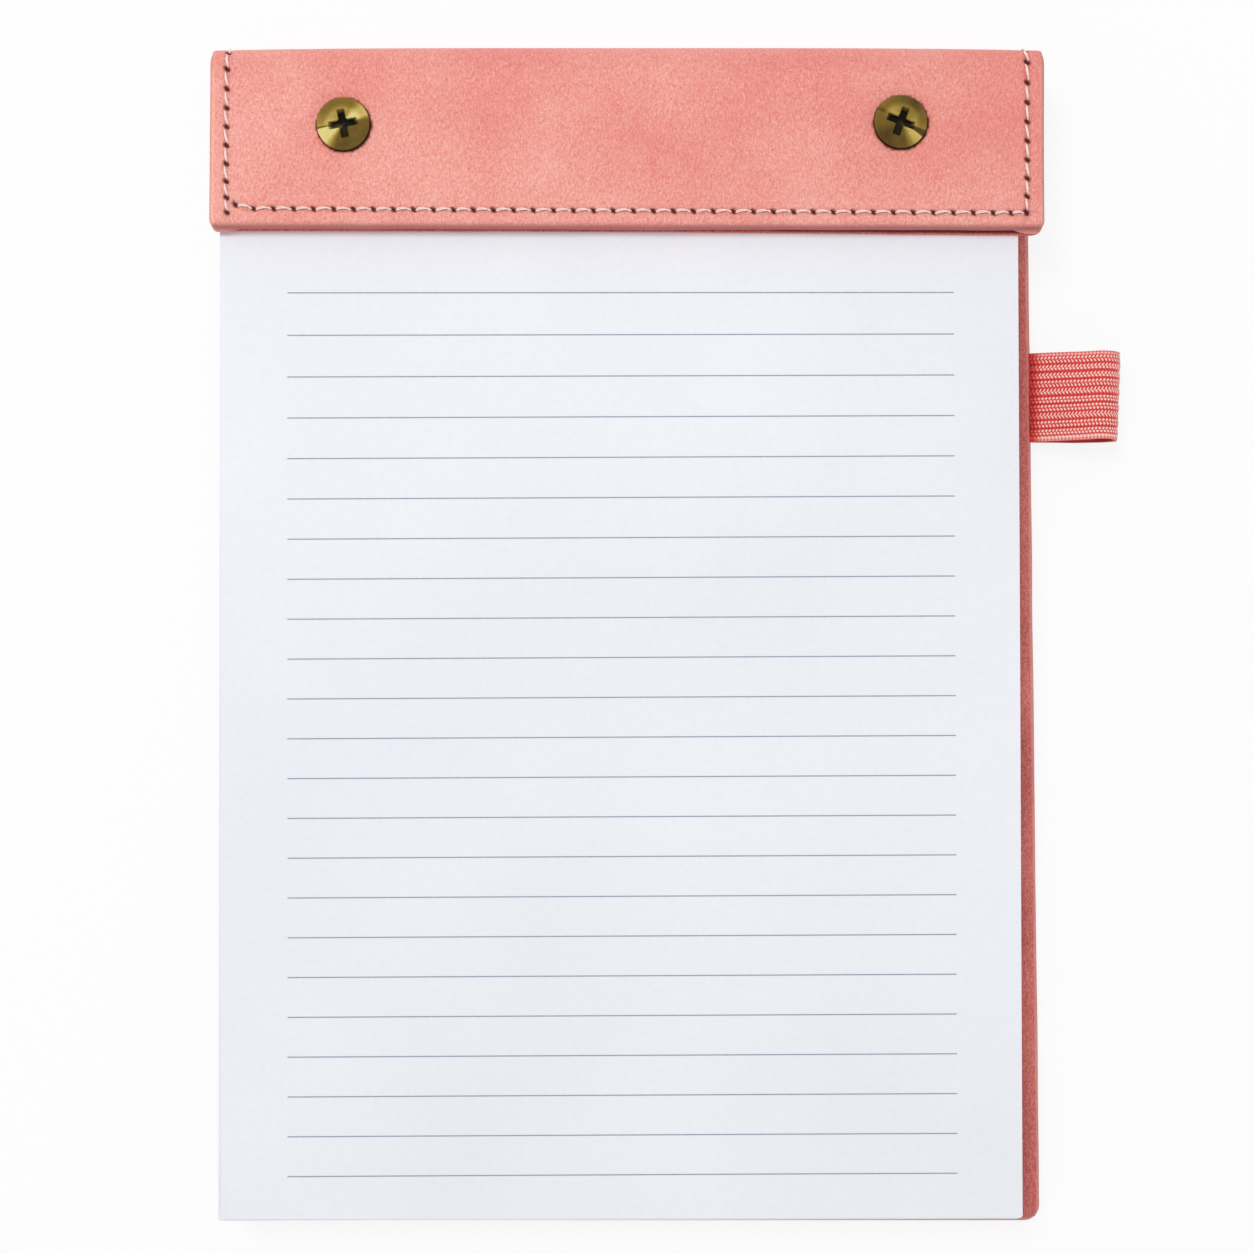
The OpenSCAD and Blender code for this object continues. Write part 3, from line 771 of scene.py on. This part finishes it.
def make_cover():
    obj = folded_panel("case_cover", HALF_W, FOOT_Y, FLAP_Y + 0.5, 0.0, CASE_T, (3.1, 1.5),
                       COVER_ROUND, 1.25)
    open_mesh(obj)
    for shown, cuts in ((True, 4), (False, 3)):
        pick(obj, "FACE", lambda f: (f.calc_center_median().z > 5) == shown and seam_faces(f))
        bpy.ops.mesh.subdivide(number_cuts=cuts)
    pick(obj, "FACE", lambda f: f.normal.z > 0.5 and f.calc_center_median().z > 12
         and any((f.calc_center_median().xy - Vector((x, POST_Y))).length < 7 for x in POST_X))
    bpy.ops.mesh.subdivide(number_cuts=2)
    pick(obj, "FACE", inner_window)
    bpy.ops.mesh.delete(type="FACE")
    close_mesh()
    co = places(obj)
    normals = rows_of(obj, "normal")
    pit_and_shade, furrow = holes_near(co)
    face = on_flap(co)
    moved = co - normals * (PIT_DEPTH * pit_and_shade + FURROW_DEPTH * furrow)[:, None]
    swell = ripple(co[:, 0] / 17, co[:, 1] / 11, 3.1) * 0.07
    moved[:, 2] += face * swell
    for x, y in HEADS:
        away = np.hypot(co[:, 0] - x, co[:, 1] - y)
        moved[:, 2] -= face * 0.2 * ease((6.8 - away) / 2.0)
    # The spine's ends are folded nearly square
    a = (np.abs(co[:, 0]) - HALF_W + COVER_ROUND).clip(0) / COVER_ROUND
    b = (co[:, 1] - SPINE_Y + COVER_ROUND).clip(0) / COVER_ROUND
    square = np.hypot(a, b) / np.maximum((a ** 6 + b ** 6) ** (1 / 6), 1e-6)
    square = np.where((a > 0) & (b > 0), square, 1.0) - 1
    moved[:, 0] += np.sign(co[:, 0]) * COVER_ROUND * a * square
    moved[:, 1] += COVER_ROUND * b * square
    edge_wave = ripple(co[:, 0] / 9 + co[:, 1] / 13, co[:, 2] / 6, 7.7) * 0.09
    rim = ease((np.abs(co[:, 0]) - 74.8) / 1.2)
    moved[:, 0] += np.sign(co[:, 0]) * rim * edge_wave
    free = ease((FLAP_Y + 2.1 - co[:, 1]) / 1.6) * (co[:, 2] > 12)
    moved[:, 1] += free * edge_wave
    # Below the round, the free edge drops straight, with a fine bead above the gap
    low = free * ease((15.9 - co[:, 2]) / 0.7)
    corner = ease((np.abs(co[:, 0]) - 71.2) / 1.5)
    bead = 0.1 + (0.25 - 0.18 * edge_gap(co[:, 0])) * ease((14.9 - co[:, 2]) / 0.5)
    lip = np.where(co[:, 0] < 0, 0.95, 1.1) * ease((15.4 - co[:, 2]) / 0.9)
    moved[:, 1] -= low * (bead * (1 - corner) + lip * corner)
    moved[:, 2] += low * ease((14.9 - co[:, 2]) / 0.6) * (0.32 * edge_gap(co[:, 0]) - 0.1
                                                          - 0.35 * corner)
    put(obj, settle_case(moved))
    # Painted shade: on the flap's rounded free edge, less on its bead and the corners' lips, in a
    # band towards the spine, on the back's rims and inner face, and on the outer side rims, more
    # on the right.
    back = ease((4 - co[:, 2]) / 2) * (normals[:, 2] > -0.5)
    shade = (co[:, 2] > 12) * ease((FLAP_Y + 1.45 - co[:, 1]) / 1.0)
    shade *= 0.92 - 0.42 * ease((15.2 - co[:, 2]) / 0.5) - 0.35 * corner * (co[:, 2] < 15.4)
    shade += 0.12 * ease((co[:, 1] - 103.5) / 4) + 0.42 * back
    shade += (np.where(co[:, 0] < 0, 0.24, 0.36) * (co[:, 2] > 5)
              * ease((np.abs(co[:, 0]) - 75.7) / 0.35))
    paint(obj, "shade", np.clip(shade, 0, 1))
    # Painted shade in the needle holes, the seams' furrows and the gap under the free edge's bead.
    slit = free * ease((14.7 - co[:, 2]) / 0.3) * (0.3 + 0.25 * edge_gap(co[:, 0]))
    paint(obj, "pit_and_shade", np.clip(pit_and_shade * 1.15 + 0.15 * furrow + slit, 0, 1))
    # Painted highlight along the side rims, stronger on the left.
    paint(obj, "rim_highlight", np.where(co[:, 0] < 0, 0.55, 0.25) * face
          * ease(1 - np.abs(np.abs(co[:, 0]) - 75.6) / 0.45))
    modify(obj, "SOLIDIFY", thickness=SKIN_T, offset=-1, use_even_offset=False)
    for (x, y), post in zip(HEADS, POST_X):
        bore(obj, x + 0.05, y - 0.08, CASE_H, HEAD_R + FLAP_SEAT_GAP, 4, 96)
        bore(obj, post, POST_Y, -0.5, HEAD_R + BACK_SEAT_GAP, 2, 72)
    co = places(obj)
    # Painted shade in the gap round each screw head.
    pit_and_shade = painted(obj, "pit_and_shade")
    for x, y in HEADS:
        away = np.hypot(co[:, 0] - x - 0.1, co[:, 1] - y + 0.16)
        ring = (away < HEAD_R + 0.45) & (co[:, 2] > 14)
        pit_and_shade[ring] = np.maximum(pit_and_shade[ring], ease((HEAD_R + 0.42 - away[ring]) / 0.2))
    obj.data.attributes["pit_and_shade"].data.foreach_set("value", pit_and_shade)
    return obj


def edge_gap(x):
    """How far the flap's turned edge stands off the lining, from 0 to 1: open on the right and
    left of the middle, closed between and by the left corner."""
    left = ease((x + 49) / 6) * ease((-3 - x) / 9)
    right = ease((x - 24) / 5) * ease((74 - x) / 3)
    return np.maximum(left, right)


def inner_window(face):
    """Inner faces between the turned-in edges, where the lining lies on the boards."""
    x, y, z = face.calc_center_median()
    if abs(x) > HALF_W - TURN_W:
        return False
    if y > FOLD_Y:
        low = math.hypot(y - FOLD_Y, z - FOLD_R) if z < FOLD_R else None
        high = math.hypot(y - FOLD_Y, z - (CASE_H - FOLD_R)) if z > CASE_H - FOLD_R else None
        away = low if low is not None else high if high is not None else y - FOLD_Y
        return away < FOLD_R - CASE_T + 0.1
    if z < 8:
        return z > CASE_T - 0.1 and y > FOOT_Y + TURN_W
    return z < CASE_H - CASE_T + 0.1 and y > FLAP_Y + TURN_W


def make_lining():
    obj = folded_panel("case_lining", HALF_W - 0.9, FOOT_Y + 0.9, FLAP_Y - 0.2, CASE_T, LINING_T,
                       (2.4, 1.2), 0.15, 3.0)
    open_mesh(obj)
    pick(obj, "FACE", lambda f: f.normal.z > 0.5 and f.calc_center_median().z > 12
         and f.calc_center_median().y < FLAP_Y + 3.5)
    bpy.ops.mesh.subdivide(number_cuts=7)
    close_mesh()
    co = places(obj)
    moved = co.copy()
    wave = ripple(co[:, 0] / 7 + co[:, 1] / 11, co[:, 2] / 9, 5.5)
    rim = ease((np.abs(co[:, 0]) - 74.6) / 0.8)
    moved[:, 0] += np.sign(co[:, 0]) * rim * (0.12 * wave + 0.6 * (co[:, 2] > 10))
    # The corners' folded ends stand out from under the flap
    free = ease((FLAP_Y + 1.5 - co[:, 1]) / 1.3) * (co[:, 2] > 12)
    lip = 0.1 * ease((np.abs(co[:, 0]) - 70.8) / 1.2)
    back = 0.28 * ease((45 - co[:, 0]) / 50) + 0.17 * ease((62 - co[:, 0]) / 25)
    moved[:, 1] += free * (back - lip - 0.05 * wave)
    put(obj, settle_case(moved))
    # Painted shade on the lining just under the flap's free edge, darker where the edge stands
    # off.
    under = ease((co[:, 1] - FLAP_Y - 0.06) / 0.12) * (co[:, 2] > 13.8)
    paint(obj, "pit_and_shade", under * (0.25 + 0.55 * edge_gap(co[:, 0])))
    return obj


def make_stiffener(name, node, tuck, thinner):
    """A board inside the case, in the place that the solid model gives it, and moved with the
    leatherette round it. It is smaller than there by tuck at its sides and its lower end, and
    by thinner on top."""
    low, high = (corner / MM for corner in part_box(node))
    obj = block(name, (low.x + tuck, high.x - tuck), (low.y + tuck, high.y),
                (low.z, high.z - thinner))
    open_mesh(obj)
    for axis, count in ((0, 16), (1, 12)):
        slice_up(axis, [low[axis] + (high[axis] - low[axis]) * i / count
                        for i in range(1, count)])
    close_mesh()
    punch(obj, low.z - 1, high.z + 1)
    put(obj, settle_case(places(obj)))
    return obj


# ---- Stitches ---------------------------------------------------------------------------


def ply(name, turn, sides, steps, bow, lift, thick):
    """One ply of a stitch along X, which dives into the needle hole at each end."""
    bpy.ops.object.select_all(action="DESELECT")
    bpy.ops.curve.primitive_nurbs_path_add()
    obj = named(name)
    line = obj.data.splines[0]
    line.points.add(steps + 1 - len(line.points))
    for i, point in enumerate(line.points):
        t = i / steps
        arch = math.sin(math.pi * t)
        angle = turn + 1.15 * math.pi * t
        point.co = ((t - 0.5) * 2.75, bow * arch + 0.8 * thick * math.sin(angle),
                    lift * arch ** 0.55 - 0.45 + 0.6 * thick * math.cos(angle), 1)
    line.use_endpoint_u = True
    line.order_u = 3
    obj.data.bevel_depth = thick
    obj.data.bevel_resolution = sides
    obj.data.resolution_u = 1
    obj.data.use_fill_caps = True
    obj.data.dimensions = "3D"
    take(obj)
    bpy.ops.object.convert(target="MESH")
    return bpy.context.object


def make_stitches():
    fine = [ply("ply", math.pi * (k - 0.5), 2, 12, bow, 0.68, 0.115)
            for k, bow in ((0, 0.08), (1, 0.32))]
    side = [ply("ply", math.pi * k, 2, 12, 0.1, 0.66, 0.125) for k in (0, 1)]
    plain = [ply("ply", math.pi * k, 0, 6, 0.0, 0.72, 0.16) for k in (0, 1)]
    dice = random.Random(5)
    copies = []
    for name, row in SEAMS.items():
        for (start, out), (end, out_b) in zip(row, row[1:]):
            along = end - start
            normal = (out + out_b).normalized()
            across = normal.cross(along).normalized()
            shown = normal.z > 0.5
            kind = plain if not shown else fine if name == "flap" else side
            middle = (start + end) / 2
            if abs(normal.y) > 0.05 and abs(normal.z) > 0.05:
                middle += normal * 0.22
            middle = Vector(settle_case(np.array([middle]))[0])
            turn = Matrix((along.normalized(), across, normal)).transposed().to_4x4()
            lean = Matrix.Rotation(math.radians(dice.uniform(-4, 4)
                                                + (0 if name in ("flap", "foot") else 11)), 4, "Z")
            size = Matrix.Diagonal((along.length / PITCH, 1, dice.uniform(0.9, 1.1), 1))
            for strand in kind:
                copies.append(copy_of(strand, Matrix.Translation(middle) @ turn @ lean @ size))
    for strand in fine + side + plain:
        bpy.data.objects.remove(strand)
    return merge(copies, "stitches")


# ---- Pad --------------------------------------------------------------------------------


def punch(obj, low, high):
    """Cuts the two holes for the posts between two heights."""
    for x in POST_X:
        bore(obj, x, POST_Y, (low + high) / 2, 3, high - low, 32)


def blank_sheet(name, foot_y, z):
    """A sheet with rounded corners, whose mesh is left open."""
    obj = block(name, (PAD_X - SHEET_W / 2, PAD_X + SHEET_W / 2), (foot_y, PAD_HEAD_Y), z)
    open_mesh(obj)
    pick(obj, "EDGE", lambda e: abs(e.verts[0].co.z - e.verts[1].co.z) > SHEET_T / 2)
    bpy.ops.mesh.bevel(offset=SHEET_CORNER, segments=3, affect="EDGES")
    return obj


def sheet_height(x, y):
    """Height of the top sheet's face: flat under the flap, and a little wavy below it."""
    free = ease((FLAP_Y - 4 - y) / 60)
    wave = 0.05 * np.sin(x / 31 + y / 60) + 0.04 * np.sin(y / 23 + 1)
    curl = 0.1 * ease((-y - 70) / 40) * ease((np.abs(x) - 30) / 60)
    return STACK_TOP + free * (wave + 0.09 + curl)


def turn_pad(co, x_shift=0.0):
    """Brings the sheets to where they lie: level at the posts, and spread and turned a little
    towards their foot."""
    left = PAD_X - SHEET_W / 2
    spread = 0.9965 + 0.00003 * (71 - co[:, 1])
    moved = co.copy()
    moved[:, 0] = left - 0.09 + (co[:, 0] - left) * spread + x_shift
    moved[:, 1] += PAD_TURN * (co[:, 0] - PAD_X)
    return moved


def make_sheets():
    """The stack under the top sheet, each sheet a little out of line."""
    leaf = blank_sheet("leaf", PAD_FOOT_Y, (0, SHEET_T))
    close_mesh()
    punch(leaf, -1, 1)
    dice = random.Random(11)
    pitch = (STACK_TOP - SHEET_T - STACK_Z) / SHEET_COUNT
    copies = []
    fan = 0.0
    for i in range(SHEET_COUNT):
        fan = 0.9 * fan + dice.uniform(-0.03, 0.03)
        sheet = copy_of(leaf, Matrix.Translation((0, 0, STACK_Z + i * pitch)))
        co = turn_pad(places(sheet), fan - 0.25 + dice.uniform(-0.05, 0.05))
        co[:, 0] -= (0.3 + fan) * ease((60 - co[:, 1]) / 160)
        co[:, 1] += dice.uniform(-0.08, 0.03)
        put(sheet, co)
        copies.append(sheet)
    bpy.data.objects.remove(leaf)
    return merge(copies, "sheet_stack")


def make_top_sheet():
    obj = blank_sheet("top_sheet", PAD_FOOT_Y + 0.25, (STACK_TOP - SHEET_T, STACK_TOP))
    for axis, low, high, count in ((0, PAD_X - 73, PAD_X + 73, 40),
                                   (1, PAD_FOOT_Y + 0.8, PAD_HEAD_Y - 0.8, 60)):
        slice_up(axis, [low + (high - low) * i / count for i in range(count + 1)])
    close_mesh()
    punch(obj, STACK_TOP - 1, STACK_TOP + 1)
    co = places(obj)
    co[:, 2] += sheet_height(co[:, 0], co[:, 1]) - STACK_TOP
    put(obj, turn_pad(co))
    return obj


def make_ruling():
    """The ruled lines, which follow the top sheet. The first ones lie a little further apart, and
    the lines slope more towards the foot."""
    line = block("line", (-RULE_HALF, RULE_HALF), (-RULE_W / 2, RULE_W / 2), (0, RULE_T))
    open_mesh(line)
    slice_up(0, [-RULE_HALF + 2 * RULE_HALF * i / 40 for i in range(1, 40)])
    close_mesh()
    copies = []
    for i in range(RULE_COUNT):
        settled = 1 - math.exp(-i / 2.6)
        copy = copy_of(line, Matrix.Translation((PAD_X + 0.15, RULE_Y - RULE_PITCH * i
                                                 - RULE_EXTRA * settled, 0)))
        co = places(copy)
        co[:, 1] += (0.0046 * settled - 0.0016) * (co[:, 0] - PAD_X)
        co[:, 2] += sheet_height(co[:, 0], co[:, 1])
        put(copy, turn_pad(co))
        copies.append(copy)
    bpy.data.objects.remove(line)
    return merge(copies, "ruling")


# ---- Screws -----------------------------------------------------------------------------


def cross_tool(turn):
    """The shape that a cross recess leaves: a tapered cross whose mouth flares above z = 0."""
    bpy.ops.object.select_all(action="DESELECT")
    bpy.ops.mesh.primitive_cube_add(size=1.3, location=(0, 0, 0))
    obj = named("cross")
    for way in ((1, 0, 0), (-1, 0, 0), (0, 1, 0), (0, -1, 0)):
        open_mesh(obj)
        pick(obj, "FACE", lambda f: f.normal.dot(Vector(way)) > 0.9
             and f.calc_center_median().length < 0.7)
        bpy.ops.mesh.extrude_region_move(
            TRANSFORM_OT_translate={"value": [1.95 * w for w in way]})
        close_mesh()
    open_mesh(obj)
    pick(obj, "EDGE", lambda e: abs(e.verts[0].co.z - e.verts[1].co.z) > 1
         and max(abs(e.verts[0].co.x), abs(e.verts[0].co.y)) < 0.7)
    bpy.ops.mesh.bevel(offset=0.35, segments=4, affect="EDGES")
    pick(obj, "EDGE", lambda e: abs(e.verts[0].co.z - e.verts[1].co.z) > 1
         and max(abs(e.verts[0].co.x), abs(e.verts[0].co.y)) > 2.5)
    bpy.ops.mesh.bevel(offset=0.12, segments=2, affect="EDGES")
    bpy.ops.mesh.select_all(action="SELECT")
    bpy.ops.mesh.bisect(plane_co=(0, 0, 0), plane_no=(0, 0, 1))
    bpy.ops.mesh.select_all(action="SELECT")
    bpy.ops.mesh.normals_make_consistent(inside=False)
    close_mesh()
    out = rows_of(obj, "normal")[:, :2]
    out /= np.maximum(np.hypot(*out.T), 1e-6)[:, None]
    co = places(obj)
    low = co[:, 2] < -0.1
    high = co[:, 2] > 0.1
    away = np.hypot(co[:, 0], co[:, 1])
    co[:, :2] += out * np.where(high, 0.22, 0)[:, None]
    co[:, :2] *= np.where(low, np.where(away > 1.5, 0.76, 0.9), 1.0)[:, None]
    co[:, 2] = np.where(low, -1.15, np.where(high, 0.05, -0.2))
    a = math.radians(turn)
    x, y = co[:, 0].copy(), co[:, 1].copy()
    co[:, 0] = x * math.cos(a) - y * math.sin(a)
    co[:, 1] = x * math.sin(a) + y * math.cos(a)
    put(obj, co)
    return obj


def make_screw(name, post_x, centre, turn):
    """A slightly crowned head with a cross recess, on its shank. The head sits at centre."""
    bpy.ops.object.select_all(action="DESELECT")
    bpy.ops.mesh.primitive_cylinder_add(vertices=96, radius=HEAD_R, depth=HEAD_RIM,
                                        location=(0, 0, HEAD_RIM / 2))
    obj = named(name)
    take(obj)
    bpy.ops.object.transform_apply(location=True)
    open_mesh(obj)
    pick(obj, "EDGE", lambda e: all(v.co.z > HEAD_RIM - 0.01 for v in e.verts))
    bpy.ops.mesh.bevel(offset=0.3, segments=3, affect="EDGES")
    pick(obj, "FACE", lambda f: f.normal.z > 0.9 and len(f.verts) > 50)
    for i in range(9):
        bpy.ops.mesh.inset(thickness=0.45, depth=0)
    close_mesh()
    co = places(obj)
    away = np.hypot(co[:, 0], co[:, 1])
    top = co[:, 2] > HEAD_RIM - 0.01
    co[:, 2] += top * CROWN * (1 - (away / (HEAD_R - 0.3)) ** 2).clip(0, 1)
    put(obj, co)
    tool = cross_tool(turn)
    tool.data.transform(Matrix.Translation((0, 0, HEAD_RIM + CROWN)))
    cut_out(obj, tool)
    co = places(obj)
    away = np.hypot(co[:, 0], co[:, 1])
    below = HEAD_RIM + CROWN - co[:, 2]
    # Painted shade deep in the cross recess, a little less on its lower walls as painted glints.
    recess_shade = (0.45 * ease((below - 0.1) / 0.08) + 0.55 * ease((below - 0.3) / 0.3)) * (away < 3)
    paint(obj, "depth", recess_shade * np.where(co[:, 1] < -0.2, 0.85, 1.0))
    obj.data.transform(Matrix.Translation((centre[0], centre[1], HEAD_Z)))
    bpy.ops.object.select_all(action="DESELECT")
    bpy.ops.mesh.primitive_cylinder_add(vertices=32, radius=SHANK_R, depth=7,
                                        location=(post_x, POST_Y, HEAD_Z - 3.49))
    shank = named("shank")
    take(shank)
    bpy.ops.object.transform_apply(location=True)
    return merge([obj, shank], name)


# ---- Pen loop ---------------------------------------------------------------------------


def loop_line():
    """The elastic's outer face seen along Y, as closely spaced points with their way out."""
    start = np.array([HALF_W - 1.2, 2.35])
    end = np.array([HALF_W - 1.2, 0.95])
    centre = np.array([LOOP_X, LOOP_Z])
    points = []
    for root, side in ((start, 1), (end, -1)):
        run = centre - root
        slope = math.atan2(run[1], run[0]) + side * math.asin(LOOP_R / math.hypot(*run))
        touch = slope + side * math.pi / 2
        points.append((root, touch))
    (top, high), (low, deep) = points
    high_end = centre + LOOP_R * np.array([math.cos(high), math.sin(high)])
    low_end = centre + LOOP_R * np.array([math.cos(deep), math.sin(deep)])
    path, outs = [], []
    for t in np.linspace(0, 1, 110):
        path.append(top + (high_end - top) * t)
        outs.append((math.cos(high), math.sin(high)))
    for a in np.linspace(high, deep, 110)[1:]:
        path.append(centre + LOOP_R * np.array([math.cos(a), math.sin(a)]))
        outs.append((math.cos(a), math.sin(a)))
    for t in np.linspace(0, 1, 90)[1:]:
        path.append(low_end + (low - low_end) * t)
        outs.append((math.cos(deep), math.sin(deep)))
    return np.array(path), np.array(outs)


def make_loop():
    """The elastic from the case's edge out, round the pen and back, with its knitted face."""
    path, outs = loop_line()
    run = np.concatenate([[0], np.cumsum(np.hypot(*np.diff(path, axis=0).T))])
    columns = int(run[-1] / 0.122)
    rows = RIBS * 12 + 12
    bpy.ops.object.select_all(action="DESELECT")
    bpy.ops.mesh.primitive_grid_add(x_subdivisions=columns, y_subdivisions=rows, size=2)
    obj = named("pen_loop_band")
    co = places(obj)
    u = (co[:, 0] + 1) / 2 * run[-1]
    v = (co[:, 1] + 1) / 2
    w = v * LOOP_W
    rib = (w - SELVEDGE) / (LOOP_W - SELVEDGE - 0.6) * RIBS
    rib += 0.06 * np.sin(2 * math.pi * u / PURL)
    selvedge = (rib < 0) | (rib > RIBS)
    across = rib - np.floor(rib)
    hill = 1 - np.abs(2 * across - 1) ** 6
    stitch = np.zeros(len(co))
    drift = 0.35 * np.sin(np.floor(rib) * 2.3)
    for place, skew, lag in ((0.3, 0.5, 0.0), (0.7, -0.5, 0.35)):
        phase = u / PURL + skew * (across - place) / 0.4 + lag + drift
        along = (phase - np.floor(phase) - 0.5) * PURL
        aside = (across - place) * 1.45
        stitch = np.maximum(stitch, np.exp(-(along / 0.18) ** 4 - (aside / 0.24) ** 4))
    yarn_and_shade = 0.1 + 1.15 * hill * stitch
    edge_thread = np.where((w > 0.45) & (w < SELVEDGE), 0.8, 0.5)
    edge_thread = np.where(rib > RIBS, np.where(w > LOOP_W - 0.25, 0.42, 0.66), edge_thread)
    yarn_and_shade = np.where(selvedge, edge_thread + 0.2 * np.cos(2 * math.pi * u / PURL), yarn_and_shade)
    relief = np.where(selvedge, 0.03, 0.08 * hill + 0.1 * stitch)
    x = np.interp(u, run, path[:, 0])
    z = np.interp(u, run, path[:, 1])
    out_x = np.interp(u, run, outs[:, 0])
    out_z = np.interp(u, run, outs[:, 1])
    rise = (relief - 0.2) / np.hypot(out_x, out_z)
    # Painted shade: the knit grows darker towards the case's edge.
    yarn_and_shade *= 0.2 + 0.8 * ease((x - 76.4) / 2.2)
    yarn_and_shade = yarn_and_shade + (0.72 - yarn_and_shade) * 0.4 * ease((x - 91.5) / 1.5)
    outer = ease((x - 77) / 12)
    wave = 0.05 * np.sin(u / 1.9) * ease((u - 9) / 4) * ease((run[-1] - u - 6) / 6)
    edge = LOOP_Y + (v - 0.5) * LOOP_W + wave
    edge += v * (0.8 - 0.2 * outer) + (1 - v) * 0.12 * outer * (z > LOOP_Z)
    co[:, 0] = x + out_x * rise + 0.3 - 0.55 * (1 - v) * outer + 0.06 * outer * np.sin(w * 2.4)
    co[:, 1] = edge
    co[:, 2] = z + out_z * rise
    put(obj, co)
    paint(obj, "yarn_and_shade", yarn_and_shade)
    open_mesh(obj)
    bpy.ops.mesh.select_all(action="SELECT")
    bpy.ops.mesh.normals_make_consistent(inside=False)
    close_mesh()
    modify(obj, "SOLIDIFY", thickness=LOOP_T - 0.25, offset=-1, use_even_offset=False)
    # Its inside is plain deep red, as painted shade inside the loop
    co = places(obj)
    middle = np.interp(co[:, 0], (HALF_W, LOOP_X), (1.65, LOOP_Z))
    inside = rows_of(obj, "normal")[:, 2] * (co[:, 2] - middle) < 0
    yarn_and_shade = painted(obj, "yarn_and_shade")
    yarn_and_shade[inside] = 0.15
    obj.data.attributes["yarn_and_shade"].data.foreach_set("value", yarn_and_shade)
    return obj


# ---- Putting it together ----------------------------------------------------------------

set_camera()
set_light()
lay_floor()

# The cover's last colours are its painted rim highlight, its painted shade and the painted shade
# in its needle holes and gaps.
COVER = leatherette("salmon_leatherette", (231, 130, 120), (240, 158, 146), (249, 186, 172),
                    (252, 190, 176), (174, 94, 93), (84, 22, 18), 0.09)
LINING = leatherette("lining_leatherette", (190, 94, 88), (222, 122, 114), (240, 152, 144),
                     (230, 142, 132), (150, 72, 68), (92, 28, 26))
PAPER = paper_finish("writing_paper", (236, 238, 244), (244, 246, 251))
CARD = board_finish("backing_card", (158, 154, 146), (182, 178, 170))
GREYBOARD = board_finish("greyboard", (130, 126, 118), (166, 162, 152))
POSTS = brass_finish("post_brass")
THREAD = thread_finish()

settle(make_cover(), COVER, ["outer_cover"])
settle(make_lining(), LINING, ["lining"])
settle(make_stiffener("back_stiffener", "back_board", 0.3, 0.0), GREYBOARD,
       ["back_board"])
settle(make_stiffener("flap_stiffener", "flap_board", 1.0, 0.3), GREYBOARD,
       ["flap_board"])
settle(make_sheets(), PAPER, ["sheets"])
settle(make_top_sheet(), PAPER, ["sheets"])
settle(make_ruling(), ink_finish(), ["ruled_lines"])
for name, post_x, centre, turn, fan in (
        ("screw_left", POST_X[0], HEADS[0], 10, LEFT_PAINTED_HIGHLIGHTS),
        ("screw_right", POST_X[1], HEADS[1], -20.5, RIGHT_PAINTED_HIGHLIGHTS)):
    settle(make_screw(name, post_x, centre, turn),
           brass_finish(name + "_brass", centre, turn, fan), ["screws"], smooth=28)
settle(make_loop(), elastic_finish(), ["pen_loop"], smooth=60)
settle(make_stitches(), THREAD, ["stitching"], smooth=80)

for node, look in (("spine_board", GREYBOARD), ("backing_card", CARD), ("posts", POSTS)):
    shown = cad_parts[node]
    shown.data.materials.clear()
    shown.data.materials.append(look)
